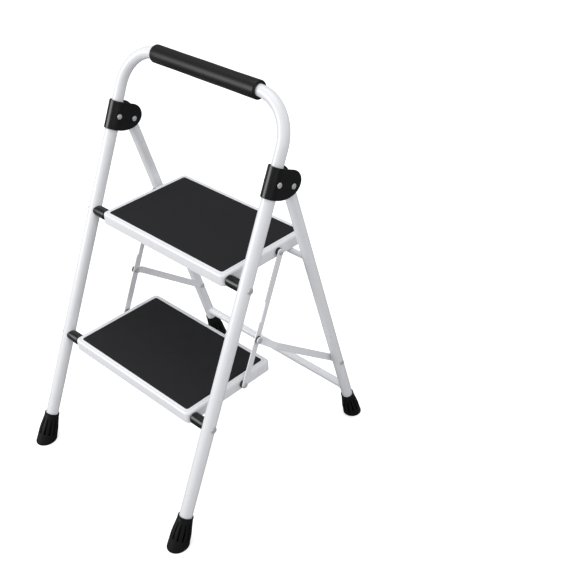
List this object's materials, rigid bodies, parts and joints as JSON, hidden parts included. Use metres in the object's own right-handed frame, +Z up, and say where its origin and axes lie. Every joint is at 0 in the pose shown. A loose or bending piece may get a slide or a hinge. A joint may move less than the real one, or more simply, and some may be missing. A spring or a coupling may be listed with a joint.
{
  "type": "step stool",
  "caption": "Folding step stool: white tube frame, bent handle with foam grip, wide steps with black mats, rear frame on saddle brackets, rubber feet.",
  "frame": {"origin": "on the floor, under the middle of the footprint of the four feet", "axes": "+Z up, +X to the user's right side when climbing, +Y to the back, so the user climbs from -Y"},
  "size_m": [0.463, 0.5366, 0.7776],
  "materials": {
    "white_coat": "gloss powder coat, fine orange peel",
    "black_plastic": "moulded nylon, satin",
    "black_rubber": "moulded rubber with ribs",
    "foam_grip": "closed-cell foam sleeve, soft sheen",
    "step_mat": "anti-slip sheet, matt with fine grain",
    "zinc_steel": "bright zinc-plated steel rivets"
  },
  "bodies": {
    "front_frame": {"left_front_leg": "white_coat", "left_front_foot": "black_rubber", "left_bracket": "black_plastic", "left_bracket_rivet": "zinc_steel", "left_rear_leg_rivet": "zinc_steel", "left_lower_sleeve": "black_plastic", "left_lower_step_rod": "zinc_steel", "left_upper_sleeve": "black_plastic", "left_upper_step_rod": "zinc_steel", "right_front_leg": "white_coat", "right_front_foot": "black_rubber", "right_bracket": "black_plastic", "right_bracket_rivet": "zinc_steel", "right_rear_leg_rivet": "zinc_steel", "right_lower_sleeve": "black_plastic", "right_lower_step_rod": "zinc_steel", "right_upper_sleeve": "black_plastic", "right_upper_step_rod": "zinc_steel", "handle_tube": "white_coat", "handle_grip": "foam_grip"},
    "rear_frame": {"left_rear_leg": "white_coat", "left_rear_foot": "black_rubber", "left_link_rivet": "zinc_steel", "right_rear_leg": "white_coat", "right_rear_foot": "black_rubber", "right_link_rivet": "zinc_steel", "upper_crossbar": "white_coat", "lower_crossbar": "white_coat"},
    "lower_step": {"left_lower_washer": "black_plastic", "left_lower_strap_rivet": "zinc_steel", "right_lower_washer": "black_plastic", "right_lower_strap_rivet": "zinc_steel", "lower_tray": "white_coat", "lower_mat": "step_mat", "lower_tray_brace": "white_coat"},
    "upper_step": {"left_upper_washer": "black_plastic", "left_upper_strap_rivet": "zinc_steel", "right_upper_washer": "black_plastic", "right_upper_strap_rivet": "zinc_steel", "upper_tray": "white_coat", "upper_mat": "step_mat", "upper_tray_brace": "white_coat"},
    "left_hanger": {"left_strap": "white_coat", "left_link_pivot": "zinc_steel", "left_link_washer": "black_plastic"},
    "right_hanger": {"right_strap": "white_coat", "right_link_pivot": "zinc_steel", "right_link_washer": "black_plastic"},
    "left_stay": {"left_link": "white_coat", "left_link_head": "zinc_steel"},
    "right_stay": {"right_link": "white_coat", "right_link_head": "zinc_steel"}
  },
  "joints": [
    {"name": "rear_frame_fold", "type": "hinge", "parent": "front_frame", "child": "rear_frame", "pos_m": [0, 0.07404, 0.62261], "axis": [-1, 0, 0], "range_deg": [0, 36.9]},
    {"name": "lower_step_fold", "type": "hinge", "parent": "front_frame", "child": "lower_step", "pos_m": [0, -0.14512, 0.224], "axis": [1, 0, 0], "range_deg": [0, 53.35]},
    {"name": "upper_step_fold", "type": "hinge", "parent": "front_frame", "child": "upper_step", "pos_m": [0, -0.03636, 0.466], "axis": [1, 0, 0], "range_deg": [0, 53.35]},
    {"name": "left_hanger_pivot", "type": "hinge", "parent": "upper_step", "child": "left_hanger", "pos_m": [-0.1772, 0.08564, 0.467], "axis": [-1, 0, 0], "range_deg": [0, 53.35]},
    {"name": "right_hanger_pivot", "type": "hinge", "parent": "upper_step", "child": "right_hanger", "pos_m": [0.1772, 0.08564, 0.467], "axis": [-1, 0, 0], "range_deg": [0, 53.35]},
    {"name": "left_stay_pivot", "type": "hinge", "parent": "left_hanger", "child": "left_stay", "pos_m": [-0.1833, 0.01562, 0.31119], "axis": [-1, 0, 0], "range_deg": [0, 67.83]},
    {"name": "right_stay_pivot", "type": "hinge", "parent": "right_hanger", "child": "right_stay", "pos_m": [0.1833, 0.01562, 0.31119], "axis": [-1, 0, 0], "range_deg": [0, 67.83]}
  ],
  "couplings": [
    {"joint": "lower_step_fold", "follows": "rear_frame_fold", "ratio": 1.4444},
    {"joint": "upper_step_fold", "follows": "rear_frame_fold", "ratio": 1.4444},
    {"joint": "left_hanger_pivot", "follows": "rear_frame_fold", "ratio": 1.4444},
    {"joint": "right_hanger_pivot", "follows": "rear_frame_fold", "ratio": 1.4444},
    {"joint": "left_stay_pivot", "follows": "rear_frame_fold", "ratio": 1.8368},
    {"joint": "right_stay_pivot", "follows": "rear_frame_fold", "ratio": 1.8368}
  ]
}
